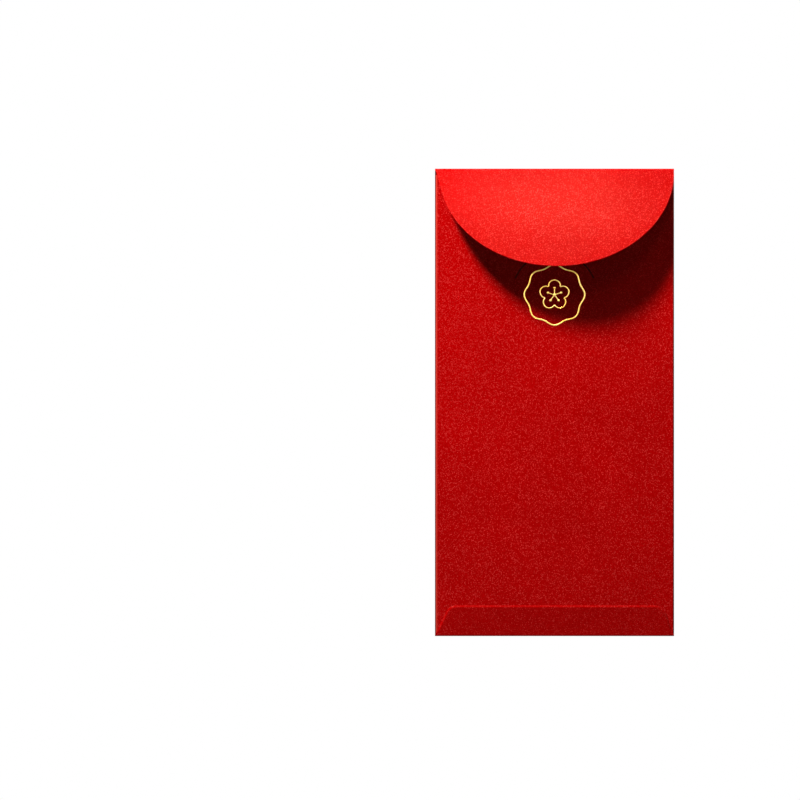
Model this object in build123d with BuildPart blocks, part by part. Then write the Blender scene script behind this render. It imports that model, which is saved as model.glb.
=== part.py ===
from build123d import *
from math import atan2, cos, degrees, pi, radians, sin, tan
import os

# A paper envelope for gift money, folded from one blank and stamped with gold foil.
# It stands upright: the stamped front faces -Y, the flap side faces +Y, the flap's fold is on top.
# The origin is the middle of the front's bottom edge, on the outer face of the paper.

# Paper
envelope_width = 90.0
envelope_height = 176.0
paper_thickness = 0.3
pocket_depth = 0.8
glue_thickness = 0.05
glue_margin = 2.0

# Top flap: a shoulder, then half an ellipse, hanging part open from a rolled crease.
# The ellipse is cut a little towards the seam
flap_length = 38.25
flap_shoulder = 1.25
flap_side_inset = 0.83
flap_shift = 0.8
flap_stand_off = 0.25
flap_rest_angle = 20.0
crease_gap = 0.05
mouth_drop = 0.4

# Seam at one side: a narrow tab glued inside the back panel
seam_tab_width = 12.0
seam_tab_slant = 5.0
seam_edge_inset = 0.4

# Bottom flap, glued over the outside of the back panel
bottom_flap_height = 11.5
bottom_flap_inset = 0.75
bottom_flap_lean = 25.0
bottom_flap_corner = 4.0

# Tuck lock: an arc slit frees a tongue that holds the flap's tip
seal_drop = 47.5
lock_radius = 16.0
lock_end_angle = 23.0
slit_width = 0.4
lock_root_gap = 0.06

# Stamped gold: seal on the flap side
foil_height = 0.15
foil_bevel = 0.05
seal_radius = 10.9
seal_wave = 0.5
seal_lobes = 8
seal_line = 0.6
seal_petal_radius = 2.45
seal_petal_reach = 3.4
seal_petal_line = 0.5
seal_heart_radius = 0.7
stamen_length = 2.6
stamen_line = 0.4
stamen_dot_radius = 0.5

# Stamped gold: plum spray on the front, and a pair of linked lozenges above it
spray_foot_z = 13.0
petal_count = 5
petal_gap = 0.6
foil_gap = 0.6
lozenge_side = 9.0
lozenge_line = 0.8
lozenge_step = 6.4

# Levels of the paper layers, from the front face backwards
front_inner_y = paper_thickness
back_inner_y = front_inner_y + pocket_depth
back_outer_y = back_inner_y + paper_thickness
seam_outer_y = back_inner_y - glue_thickness
bottom_inner_y = back_outer_y + glue_thickness
bottom_outer_y = bottom_inner_y + paper_thickness
flap_outer_y = back_outer_y + flap_stand_off + paper_thickness

# Folds, each half a tube whose outside touches both layers that it joins
side_fold_radius = back_outer_y / 2
seam_fold_radius = seam_outer_y / 2
bottom_fold_radius = bottom_outer_y / 2
crease_radius = flap_outer_y / 2
side_fold_x = envelope_width / 2 - side_fold_radius
seam_fold_x = seam_fold_radius - envelope_width / 2
crease_z = envelope_height - crease_radius
mouth_z = crease_z - crease_radius - mouth_drop
wall_height = mouth_z - bottom_fold_radius

# Places on the flap side
seal_z = envelope_height - seal_drop
lock_root_z = seal_z + lock_radius * sin(radians(lock_end_angle))
lock_root_half = lock_radius * cos(radians(lock_end_angle))
lock_root_end_z = lock_root_z - paper_thickness
bottom_half_width = envelope_width / 2 - bottom_flap_inset
flap_half_width = envelope_width / 2 - flap_side_inset

# The spray is one stamping die: its places and sizes follow half the envelope's width
die_unit = envelope_width / 2
blossom_names = ("blossom_large", "blossom_right", "blossom_left", "blossom_low")
blossom_place_shares = ((0.13, 1.25), (0.64, 1.55), (-0.40, 1.58), (-0.27, 0.70))
blossom_size_shares = (0.29, 0.22, 0.19, 0.165)
blossom_turns = (8.0, 40.0, -20.0, 25.0)
petal_reach_share = 0.58
petal_size_share = 0.42
heart_ring_share = 0.24
heart_share = 0.13

# Strokes of the branch: across, up, and width as a share of the branch at its foot
branch_foot_share = 0.085
branch_shares = (
    ((0.93, 0.03, 1.0), (0.80, 0.25, 0.95), (0.60, 0.40, 0.88), (0.47, 0.69, 0.78), (0.22, 0.87, 0.68),
     (0.13, 1.20, 0.55), (-0.18, 1.45, 0.45), (-0.42, 1.60, 0.38), (-0.55, 1.82, 0.30), (-0.60, 2.04, 0.20)),
    ((0.47, 0.69, 0.60), (0.63, 0.95, 0.50), (0.56, 1.18, 0.43), (0.66, 1.55, 0.36), (0.74, 1.84, 0.28),
     (0.70, 2.08, 0.18)),
    ((0.60, 0.40, 0.55), (0.28, 0.52, 0.46), (0.0, 0.56, 0.38), (-0.27, 0.70, 0.32), (-0.50, 0.64, 0.25),
     (-0.70, 0.50, 0.17)),
    ((0.13, 1.20, 0.40), (0.24, 1.78, 0.30), (0.18, 2.06, 0.18)),
    ((0.80, 0.25, 0.45), (0.89, 0.52, 0.32), (0.85, 0.72, 0.20)),
    ((0.22, 0.87, 0.42), (-0.05, 0.93, 0.30), (-0.24, 1.08, 0.18)),
)
bud_shares = (0.05, 0.07, 0.012)
loose_petal_shares = (0.048, 0.07, 0.01)
loose_place_shares = ((-0.76, 1.15), (-0.62, 0.16), (0.28, 0.14), (0.45, 2.0))
loose_turns = (35.0, -50.0, 15.0, 110.0)
spray_top_share = 2.25
lozenge_rise_share = 0.36
spray_top_z = spray_foot_z + spray_top_share * die_unit
lozenge_z = spray_top_z + lozenge_rise_share * (crease_z - spray_top_z)

# A sheet plane at some depth shows the part as from the front: X to the right, Z up, facing -Y.
# The flap's plane passes through the crease's axis, turned by the flap's rest angle.
front_inside = Plane.XZ.offset(-front_inner_y)
front_face = Plane.XZ
back_outside = Plane.XZ.offset(-back_outer_y)
back_foil_top = Plane.XZ.offset(-back_outer_y - foil_height)
flap_axis_plane = Plane(
    origin=(0, crease_radius, crease_z),
    x_dir=(1, 0, 0),
    z_dir=(0, -cos(radians(flap_rest_angle)), -sin(radians(flap_rest_angle))),
)


# A place on the front, from its shares across and up the die
def on_die(x_share, z_share):
    return (x_share * die_unit, spray_foot_z + z_share * die_unit)


# The point some way from another in a heading, in degrees
def step_from(point, heading, length):
    return (point[0] + length * cos(radians(heading)), point[1] + length * sin(radians(heading)))


# Closed wavy ring line at a distance from the seal's middle line
def lobed_line(offset):
    count = 4 * seal_lobes
    turns = [2 * pi * i / count for i in range(count)]
    reach = [seal_radius + offset + seal_wave * cos(seal_lobes * a) for a in turns]
    Spline(*[(r * cos(a), seal_z + r * sin(a)) for r, a in zip(reach, turns)], periodic=True)


# The round-ended band that wraps two circles of different size
def tapered_band(start, start_radius, end, end_radius):
    with Locations(start):
        first = Circle(start_radius, mode=Mode.PRIVATE)
    with Locations(end):
        second = Circle(end_radius, mode=Mode.PRIVATE)
    make_hull([*first.edges(), *second.edges()])


with BuildPart() as front_panel:
    with BuildSketch(front_inside):
        with Locations((seam_fold_x, bottom_fold_radius)):
            Rectangle(
                side_fold_x - seam_fold_x,
                crease_z - bottom_fold_radius,
                align=(Align.MIN, Align.MIN),
            )
    extrude(amount=paper_thickness)
    # The top edge is hollowed to follow the rolled crease
    with BuildSketch(Plane.YZ.offset(-envelope_width / 2)):
        with Locations((crease_radius, crease_z)):
            Circle(crease_radius + crease_gap)
    extrude(amount=envelope_width, mode=Mode.SUBTRACT)

with BuildPart() as back_panel:
    with BuildSketch(back_outside):
        with Locations((seam_edge_inset - envelope_width / 2, bottom_fold_radius)):
            Rectangle(
                side_fold_x + envelope_width / 2 - seam_edge_inset,
                wall_height,
                align=(Align.MIN, Align.MIN),
            )
    extrude(amount=paper_thickness)
    # Window that the lock tongue is cut from, with a hollow for the tongue's round root
    with BuildSketch(back_outside):
        with Locations((0, seal_z)):
            Circle(lock_radius + slit_width / 2)
        with Locations((0, lock_root_z)):
            Rectangle(
                envelope_width,
                envelope_height,
                align=(Align.CENTER, Align.MIN),
                mode=Mode.INTERSECT,
            )
    extrude(amount=paper_thickness, mode=Mode.SUBTRACT)
    with BuildSketch(Plane.YZ.offset(-lock_root_half - slit_width)):
        with Locations((back_outer_y, lock_root_z)):
            Circle(paper_thickness + lock_root_gap)
    extrude(amount=2 * (lock_root_half + slit_width), mode=Mode.SUBTRACT)

with BuildPart() as side_fold:
    with BuildSketch(Plane.XY.offset(bottom_fold_radius)):
        with Locations((side_fold_x, side_fold_radius)):
            Circle(side_fold_radius)
            Circle(side_fold_radius - paper_thickness, mode=Mode.SUBTRACT)
            Rectangle(
                side_fold_radius,
                back_outer_y,
                align=(Align.MIN, Align.CENTER),
                mode=Mode.INTERSECT,
            )
    extrude(amount=wall_height)

with BuildPart() as seam_fold:
    with BuildSketch(Plane.XY.offset(bottom_fold_radius)):
        with Locations((seam_fold_x, seam_fold_radius)):
            Circle(seam_fold_radius)
            Circle(seam_fold_radius - paper_thickness, mode=Mode.SUBTRACT)
            Rectangle(
                seam_fold_radius,
                seam_outer_y,
                align=(Align.MAX, Align.CENTER),
                mode=Mode.INTERSECT,
            )
    extrude(amount=wall_height)

# The seam tab's ends slant back from the fold
with BuildPart() as seam_tab:
    with BuildSketch(Plane.XZ.offset(-seam_outer_y)):
        with BuildLine():
            Polyline(
                (seam_fold_x, bottom_fold_radius),
                (seam_fold_x + seam_tab_width, bottom_fold_radius + seam_tab_slant),
                (seam_fold_x + seam_tab_width, mouth_z - seam_tab_slant),
                (seam_fold_x, mouth_z),
                close=True,
            )
        make_face()
    extrude(amount=paper_thickness)

with BuildPart() as seam_glue:
    with BuildSketch(Plane.XZ.offset(-back_inner_y)):
        with Locations((seam_fold_x + glue_margin, bottom_fold_radius + wall_height / 2)):
            Rectangle(
                seam_tab_width - 2 * glue_margin,
                wall_height - 2 * seam_tab_slant - 2 * glue_margin,
                align=(Align.MIN, Align.CENTER),
            )
    extrude(amount=glue_thickness)

with BuildPart() as bottom_fold:
    with BuildSketch(Plane.YZ.offset(-envelope_width / 2)):
        with Locations((bottom_fold_radius, bottom_fold_radius)):
            Circle(bottom_fold_radius)
            Circle(bottom_fold_radius - paper_thickness, mode=Mode.SUBTRACT)
            Rectangle(
                bottom_outer_y,
                bottom_fold_radius,
                align=(Align.CENTER, Align.MAX),
                mode=Mode.INTERSECT,
            )
    extrude(amount=envelope_width)

# The bottom flap narrows upwards and has round corners
bottom_flap_rise = bottom_flap_height - bottom_fold_radius
bottom_flap_taper = bottom_flap_rise * tan(radians(bottom_flap_lean))
with BuildPart() as bottom_flap:
    with BuildSketch(Plane.XZ.offset(-bottom_outer_y)):
        with BuildLine():
            Polyline(
                (-bottom_half_width, bottom_fold_radius),
                (bottom_half_width, bottom_fold_radius),
                (bottom_half_width - bottom_flap_taper, bottom_flap_height),
                (bottom_flap_taper - bottom_half_width, bottom_flap_height),
                close=True,
            )
        flap_face = make_face()
        fillet(flap_face.vertices().group_by(Axis.Y)[-1], bottom_flap_corner)
    extrude(amount=paper_thickness)

with BuildPart() as bottom_glue:
    with BuildSketch(Plane.XZ.offset(-bottom_inner_y)):
        with Locations((0, bottom_fold_radius + glue_margin)):
            Rectangle(
                2 * (bottom_half_width - bottom_flap_taper - bottom_flap_corner),
                bottom_flap_rise - 2 * glue_margin,
                align=(Align.CENTER, Align.MIN),
            )
    extrude(amount=glue_thickness)

# Half a tube round the hinge line; the flap's plate runs on from one of its edges
with BuildPart() as flap_crease:
    with BuildSketch(
        Plane(
            origin=(-envelope_width / 2, crease_radius, crease_z),
            x_dir=-flap_axis_plane.z_dir,
            z_dir=(1, 0, 0),
        )
    ):
        Circle(crease_radius)
        Circle(crease_radius - paper_thickness, mode=Mode.SUBTRACT)
        Rectangle(
            flap_outer_y,
            crease_radius,
            align=(Align.CENTER, Align.MIN),
            mode=Mode.INTERSECT,
        )
    extrude(amount=envelope_width)

with BuildPart() as top_flap:
    with BuildSketch(flap_axis_plane.offset(-crease_radius)):
        with Locations((-flap_shift, -flap_shoulder)):
            Ellipse(flap_half_width, flap_length - flap_shoulder)
            Rectangle(
                2 * envelope_width,
                flap_length,
                align=(Align.CENTER, Align.MAX),
                mode=Mode.INTERSECT,
            )
        # The shoulder narrows from the whole crease to the ends of the half ellipse
        with BuildLine():
            Polyline(
                (-envelope_width / 2, 0),
                (-flap_half_width - flap_shift, -flap_shoulder),
                (flap_half_width - flap_shift, -flap_shoulder),
                (envelope_width / 2, 0),
                close=True,
            )
        make_face()
    extrude(amount=paper_thickness)

# The tongue turns about the outer face, so its root is a quarter round under that line
with BuildPart() as lock_tab:
    with BuildSketch(back_outside):
        with Locations((0, seal_z)):
            Circle(lock_radius - slit_width / 2)
        with Locations((0, lock_root_z)):
            Rectangle(
                envelope_width,
                envelope_height,
                align=(Align.CENTER, Align.MIN),
                mode=Mode.INTERSECT,
            )
    extrude(amount=paper_thickness)
    with BuildSketch(Plane.YZ.offset(-lock_root_half)):
        with Locations((back_outer_y, lock_root_z)):
            Circle(paper_thickness)
            Rectangle(
                paper_thickness,
                paper_thickness,
                align=(Align.MAX, Align.MAX),
                mode=Mode.INTERSECT,
            )
    extrude(amount=2 * lock_root_half)

# Lobed frame of the seal, parted where the tongue bends away from the panel
with BuildPart() as seal_frame:
    with BuildSketch(back_foil_top):
        with BuildLine():
            lobed_line(seal_line / 2)
        make_face()
        with BuildLine():
            lobed_line(-seal_line / 2)
        make_face(mode=Mode.SUBTRACT)
    extrude(amount=foil_height)
    split(bisect_by=Plane.XY.offset(lock_root_end_z - lock_root_gap), keep=Keep.BOTTOM)

with BuildPart() as seal_crest:
    with BuildSketch(back_foil_top):
        with BuildLine():
            lobed_line(seal_line / 2)
        make_face()
        with BuildLine():
            lobed_line(-seal_line / 2)
        make_face(mode=Mode.SUBTRACT)
    extrude(amount=foil_height)
    split(bisect_by=Plane.XY.offset(lock_root_end_z), keep=Keep.TOP)

# Five-lobed outline of the blossom inside the seal, with its stamens
with BuildPart() as seal_blossom:
    with BuildSketch(back_foil_top):
        with Locations((0, seal_z)):
            with PolarLocations(seal_petal_reach, petal_count, start_angle=90):
                Circle(seal_petal_radius)
            with PolarLocations(seal_petal_reach, petal_count, start_angle=90):
                Circle(seal_petal_radius - seal_petal_line, mode=Mode.SUBTRACT)
            Circle(seal_petal_reach, mode=Mode.SUBTRACT)
            Circle(seal_heart_radius)
            with PolarLocations(stamen_length / 2, petal_count, start_angle=90):
                Rectangle(stamen_length, stamen_line)
            with PolarLocations(stamen_length, petal_count, start_angle=90):
                Circle(stamen_dot_radius)
    extrude(amount=foil_height)

# Flowers of the spray: broad petals parted by narrow gaps round a ring and a heart
blossom_places = [on_die(*shares) for shares in blossom_place_shares]
blossom_sizes = [share * die_unit for share in blossom_size_shares]
blossoms = []
for place, size, turn in zip(blossom_places, blossom_sizes, blossom_turns):
    with BuildPart() as blossom:
        with BuildSketch(front_face):
            with Locations(place):
                with PolarLocations(petal_reach_share * size, petal_count, start_angle=turn):
                    Circle(petal_size_share * size)
                with PolarLocations(size / 2, petal_count, start_angle=turn + 180 / petal_count):
                    Rectangle(size, petal_gap, mode=Mode.SUBTRACT)
                Circle(heart_ring_share * size, mode=Mode.SUBTRACT)
                Circle(heart_share * size)
        extrude(amount=foil_height)
    blossoms.append(blossom)

# The branch stops short of every flower
branch_width = branch_foot_share * die_unit
strokes = [[(on_die(x, z), w * branch_width / 2) for x, z, w in stroke] for stroke in branch_shares]
with BuildPart() as branch:
    with BuildSketch(front_face):
        for stroke in strokes:
            for (start, start_radius), (end, end_radius) in zip(stroke, stroke[1:]):
                tapered_band(start, start_radius, end, end_radius)
        for place, size in zip(blossom_places, blossom_sizes):
            with Locations(place):
                Circle(size + foil_gap, mode=Mode.SUBTRACT)
    extrude(amount=foil_height)

# A bud points on from the tip of every stroke
bud_radius, bud_length, bud_tip_radius = [share * die_unit for share in bud_shares]
with BuildPart() as buds:
    with BuildSketch(front_face):
        for stroke in strokes:
            (before, _), (tip, tip_radius) = stroke[-2:]
            heading = degrees(atan2(tip[1] - before[1], tip[0] - before[0]))
            seat = step_from(tip, heading, tip_radius + foil_gap + bud_radius)
            tapered_band(seat, bud_radius, step_from(seat, heading, bud_length), bud_tip_radius)
    extrude(amount=foil_height)

loose_radius, loose_length, loose_tip_radius = [share * die_unit for share in loose_petal_shares]
with BuildPart() as loose_petals:
    with BuildSketch(front_face):
        for shares, turn in zip(loose_place_shares, loose_turns):
            seat = on_die(*shares)
            tapered_band(seat, loose_radius, step_from(seat, turn, loose_length), loose_tip_radius)
    extrude(amount=foil_height)

# Two square outlines on their corners, one above the other and linked
with BuildPart() as lozenge_knot:
    with BuildSketch(front_face):
        for lift in (-lozenge_step / 2, lozenge_step / 2):
            with BuildSketch(mode=Mode.PRIVATE) as lozenge:
                Rectangle(lozenge_side, lozenge_side, rotation=45)
                offset(amount=-lozenge_line, mode=Mode.SUBTRACT)
            with Locations((0, lozenge_z + lift)):
                add(lozenge.sketch)
    extrude(amount=foil_height)
    stamped_face = lozenge_knot.faces().filter_by(Axis.Y).group_by(Axis.Y)[0]
    chamfer(stamped_face.edges(), foil_bevel)

pieces = {
    "front_panel": front_panel,
    "back_panel": back_panel,
    "side_fold": side_fold,
    "seam_fold": seam_fold,
    "seam_tab": seam_tab,
    "seam_glue": seam_glue,
    "bottom_fold": bottom_fold,
    "bottom_flap": bottom_flap,
    "bottom_glue": bottom_glue,
    "flap_crease": flap_crease,
    "top_flap": top_flap,
    "lock_tab": lock_tab,
    "seal_frame": seal_frame,
    "seal_crest": seal_crest,
    "seal_blossom": seal_blossom,
    "branch": branch,
    "buds": buds,
    "loose_petals": loose_petals,
    "lozenge_knot": lozenge_knot,
    **dict(zip(blossom_names, blossoms)),
}
os.makedirs("parts", exist_ok=True)
for name, piece in pieces.items():
    piece.part.label = name
    export_step(piece.part, f"parts/{name}.step")
    print(name, len(piece.part.solids()), "solids", round(piece.part.volume, 2), "mm3")
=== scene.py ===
import bpy
import numpy as np
from math import radians, pi
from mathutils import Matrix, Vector


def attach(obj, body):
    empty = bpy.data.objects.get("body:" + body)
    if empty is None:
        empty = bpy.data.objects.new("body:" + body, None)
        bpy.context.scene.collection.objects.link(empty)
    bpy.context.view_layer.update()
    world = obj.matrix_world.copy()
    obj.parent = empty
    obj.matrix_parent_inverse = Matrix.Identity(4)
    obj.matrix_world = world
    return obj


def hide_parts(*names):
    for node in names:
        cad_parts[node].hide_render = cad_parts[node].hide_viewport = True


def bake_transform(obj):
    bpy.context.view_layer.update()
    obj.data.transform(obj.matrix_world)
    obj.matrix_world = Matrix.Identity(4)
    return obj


# Red gift envelope: pearl paper folded from one blank, gold stamped spray in front, tuck flap behind.
# Shapes are set in millimetres and degrees, and their meshes are in metres, as finishes and lamps are.

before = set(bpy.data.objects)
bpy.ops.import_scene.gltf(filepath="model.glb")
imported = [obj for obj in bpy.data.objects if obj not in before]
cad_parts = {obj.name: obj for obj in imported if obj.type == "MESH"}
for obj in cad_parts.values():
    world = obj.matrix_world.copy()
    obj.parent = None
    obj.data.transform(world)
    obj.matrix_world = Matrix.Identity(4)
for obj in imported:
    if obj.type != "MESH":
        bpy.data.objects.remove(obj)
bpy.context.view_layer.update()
mm = 0.001
print("frame loaded,", len(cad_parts), "nodes")


# mesh helpers

weldDecimals = 5
sheetSharp = 40
reliefSharp = 55
edgeFacing = 0.55


# Directions in a plane: cosine and sine of each turn.
def ray(turn):
    return np.stack([np.cos(turn), np.sin(turn)], -1)


# How far each point of a line is from its start, measured along it.
def distanceAlong(points):
    return np.r_[0, np.cumsum(np.linalg.norm(np.diff(points, axis=0), axis=1))]


# Straight interpolation of a line of plan points, known at the distances gone, at the distances s.
def placesAt(s, gone, points):
    return np.stack([np.interp(s, gone, points[:, i]) for i in (0, 1)], -1)


# Quads between neighbouring rows and columns of a grid; keep masks its cells, and closed joins the
# last column to the first.
def gridFaces(shape, keep=None, closed=False):
    numbers = np.arange(shape[0] * shape[1]).reshape(shape[:2])
    if closed:
        numbers = np.c_[numbers, numbers[:, :1]]
    cells = np.stack([numbers[:-1, :-1], numbers[1:, :-1], numbers[1:, 1:], numbers[:-1, 1:]], -1)
    return cells.reshape(-1, 4) if keep is None else cells[keep]


# One number for all points of a shell that share a place; quads with a doubled corner become triangles.
def weld(points, faces, shell=0):
    place = np.c_[np.round(points, weldDecimals), np.broadcast_to(shell, len(points))]
    _, first, back = np.unique(place, axis=0, return_index=True, return_inverse=True)
    faces = back.reshape(-1)[faces]
    same = faces == np.roll(faces, -1, axis=1)
    count = same.sum(1)
    turn = same[count == 1].argmax(1)[:, None] + np.array([1, 2, 3])
    tris = np.take_along_axis(faces[count == 1], turn % 4, 1)
    return first, faces[count == 0], tris


# Edges that only one face uses, in that face's own direction.
def rimOf(quads, tris, total):
    runs = [np.stack([f, np.roll(f, -1, axis=1)], -1).reshape(-1, 2) for f in (quads, tris) if len(f)]
    edges = np.concatenate(runs)
    return edges[~np.isin(edges[:, 0] * total + edges[:, 1], edges[:, 1] * total + edges[:, 0])]


def putMesh(name, points, quads, tris, sharp, **values):
    mesh = bpy.data.meshes.new(name)
    mesh.from_pydata((points * mm).tolist(), [], quads.tolist() + tris.tolist())
    mesh.polygons.foreach_set("use_smooth", np.ones(len(mesh.polygons), bool))
    mesh.set_sharp_from_angle(angle=radians(sharp))
    for label, value in values.items():
        mesh.attributes.new(label, "FLOAT", "POINT").data.foreach_set("value", value.astype(np.float32))
    mesh.update()
    obj = bpy.data.objects.new(name, mesh)
    bpy.context.scene.collection.objects.link(obj)
    return obj


def readFaces(obj, label, width, kind=np.float32):
    values = np.empty(width * len(obj.data.polygons), kind)
    obj.data.polygons.foreach_get(label, values)
    return values.reshape(-1, width)


def setSlots(obj, slots):
    obj.data.polygons.foreach_set("material_index", slots.astype(np.int32))


def finishPiece(obj, material, slot, *nodes):
    obj.data.materials.append(material)
    if nodes:
        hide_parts(*nodes)
    return obj


# A sheet: the outer face, the same face moved in along its normals by the thickness less roll, and
# a rim round every border.
def sheet(name, points, normals, faces, fold=0.0, roll=0.0):
    points, normals = points.reshape(-1, 3), normals.reshape(-1, 3)
    first, quads, tris = weld(points, faces)
    outer, total = points[first], len(first)
    fold, roll = (np.broadcast_to(value, len(points))[first] for value in (fold, roll))
    inner = outer - normals[first] * (paper["thickness"] - roll)[:, None]
    rim = rimOf(quads, tris, total)
    wall = np.stack([rim[:, 1], rim[:, 0], rim[:, 0] + total, rim[:, 1] + total], -1)
    quads = np.r_[quads, quads[:, ::-1] + total, wall]
    tris = np.r_[tris, tris[:, ::-1] + total]
    # the painted light value, painted highlight and painted shade, goes to both faces
    return putMesh(name, np.r_[outer, inner], quads, tris, sheetSharp,
                   fold=np.tile(fold, 2), inside=np.repeat([0.0, 1.0], total))


# Faces that look sideways, the folds and cut edges, take the paper without gloss.
def finishSheet(obj, material, *nodes):
    finishPiece(obj, material, "red_paper", *nodes)
    obj.data.materials.append(edgePaper)
    setSlots(obj, np.abs(readFaces(obj, "normal", 3)[:, 1]) < edgeFacing)


# shader helpers

nodeGap = 220


# A socket takes a value as it is, and another node's output as a link.
def feed(socket, value):
    if isinstance(value, bpy.types.NodeSocket):
        socket.id_data.links.new(value, socket)
    else:
        socket.default_value = value


# Nodes stand in a row, in the order they are made.
def addNode(tree, kind, **inputs):
    node = tree.nodes.new("ShaderNode" + kind)
    node.location = (-nodeGap * len(tree.nodes), 0)
    for key, value in inputs.items():
        feed(node.inputs[key.replace("_", " ")], value)
    return node


# One operation on two values; the second is another node's output, and the first may be a number.
def mathNode(operation, first, second):
    node = addNode(second.id_data, "Math")
    node.operation = operation
    feed(node.inputs[0], first)
    feed(node.inputs[1], second)
    return node.outputs[0]


def pieceValue(tree, name):
    node = addNode(tree, "Attribute")
    node.attribute_name = name
    return node.outputs["Fac"]


# A mix of two colours, each a tuple or another node's output.
def mixColour(amount, low, high):
    node = addNode(amount.id_data, "Mix", Factor=amount)
    node.data_type = "RGBA"
    colours = [s for s in node.inputs if s.type == "RGBA"]
    for socket, value in zip(colours, (low, high)):
        feed(socket, (*value, 1) if isinstance(value, tuple) else value)
    return [s for s in node.outputs if s.type == "RGBA"][0]


# A value carried from one span onto another, and held at the ends.
def mapValue(source, span=(0.0, 1.0), onto=(0.0, 1.0), shape="LINEAR"):
    node = addNode(source.id_data, "MapRange", Value=source)
    node.interpolation_type = shape
    for label, value in zip(("From Min", "From Max", "To Min", "To Max"), (*span, *onto)):
        feed(node.inputs[label], value)
    return node.outputs["Result"]


grainInputs = {"Fleck Size": "fleckSize", "Cloud Size": "cloudSize", "Fleck Low": "fleckLow",
               "Fleck High": "fleckHigh", "Glint Low": "glintLow"}
grainNoise = dict(cloudDetail=3.0, toothDetail=1.0, toothShare=0.8, roughness=0.55)


# Fine flecks, soft clouds and surface tooth, all in object space. A fleck is one cell with its own
# chance, cut to a smooth step, and a glint is a rarer cell.
def buildGrainGroup():
    tree = bpy.data.node_groups.new("fineGrain", "ShaderNodeTree")
    for label in grainInputs:
        tree.interface.new_socket(label, in_out="INPUT", socket_type="NodeSocketFloat")
    for label in ("Fleck", "Glint", "Cloud", "Tooth"):
        tree.interface.new_socket(label, in_out="OUTPUT", socket_type="NodeSocketFloat")
    given = tree.nodes.new("NodeGroupInput").outputs
    place = addNode(tree, "TexCoord").outputs["Object"]

    def noiseAt(size, detail, share=1.0):
        scale = mathNode("DIVIDE", share, size)
        return addNode(tree, "TexNoise", Vector=place, Scale=scale, Detail=detail,
                       Roughness=grainNoise["roughness"]).outputs["Fac"]

    cells = addNode(tree, "TexVoronoi", Vector=place, Scale=mathNode("DIVIDE", 1.0, given["Fleck Size"]))
    chance = addNode(tree, "SeparateColor", Color=cells.outputs["Color"]).outputs
    fleckSpan = (given["Fleck Low"], given["Fleck High"])
    out = tree.nodes.new("NodeGroupOutput").inputs
    feed(out["Fleck"], mapValue(chance["Red"], fleckSpan, shape="SMOOTHSTEP"))
    feed(out["Glint"], mapValue(chance["Green"], (given["Glint Low"], 1.0)))
    feed(out["Cloud"], noiseAt(given["Cloud Size"], grainNoise["cloudDetail"]))
    feed(out["Tooth"], noiseAt(given["Fleck Size"], grainNoise["toothDetail"], grainNoise["toothShare"]))
    return tree


grainGroup = buildGrainGroup()


def startMaterial(name):
    material = bpy.data.materials.new(name)
    material.use_nodes = True
    return material, material.node_tree, material.node_tree.nodes["Principled BSDF"].inputs


def placeGrain(tree, look):
    node = addNode(tree, "Group")
    node.node_tree = grainGroup
    for label, key in grainInputs.items():
        node.inputs[label].default_value = look[key]
    return node.outputs


def addBump(skin, height, look):
    bump = addNode(height.id_data, "Bump", Height=height,
                   Strength=look["bumpStrength"], Distance=look["bumpDepth"])
    feed(skin["Normal"], bump.outputs["Normal"])


paperLook = dict(
    deep=(0.56, 0.0001, 0.0004),       # between the flecks
    pearl=(0.66, 0.001, 0.002),        # mica flecks in the coating
    glint=(0.90, 0.038, 0.035),        # a few rare flecks painted lighter, a painted glint of mica lying flat to the light
    paintedShade=(0.22, 0.001, 0.002),         # painted shade: dark edge on a fold's outer rounding and on the rings' lower sides
    paintedHighlight=(0.95, 0.085, 0.05),     # painted highlight beside a fold, on the rings' upper sides and on the seam fold behind the back panel
    insideLow=(0.13, 0.001, 0.002),    # reverse, painted dark as painted shade for the slit and the pocket, between and on its fibres
    insideHigh=(0.20, 0.003, 0.005),
    fleckSize=0.00028, cloudSize=0.03, fleckLow=0.25, fleckHigh=1.15, glintLow=0.78,
    cloudSpan=(0.3, 0.7), cloudShift=(0.94, 1.06), fibreSpan=(0.35, 0.65),
    toothSpan=(0.3, 0.7), rough=(0.18, 0.26), grazing=(0.6, 0.95), dull=1.0,
    specular=0.065, specularTint=(1.0, 0.31, 0.20), bumpDepth=0.00004, bumpStrength=0.5,
    # share of light left on the bottom flap's paper: painted shade
    bottomShade=0.84,
)


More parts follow.
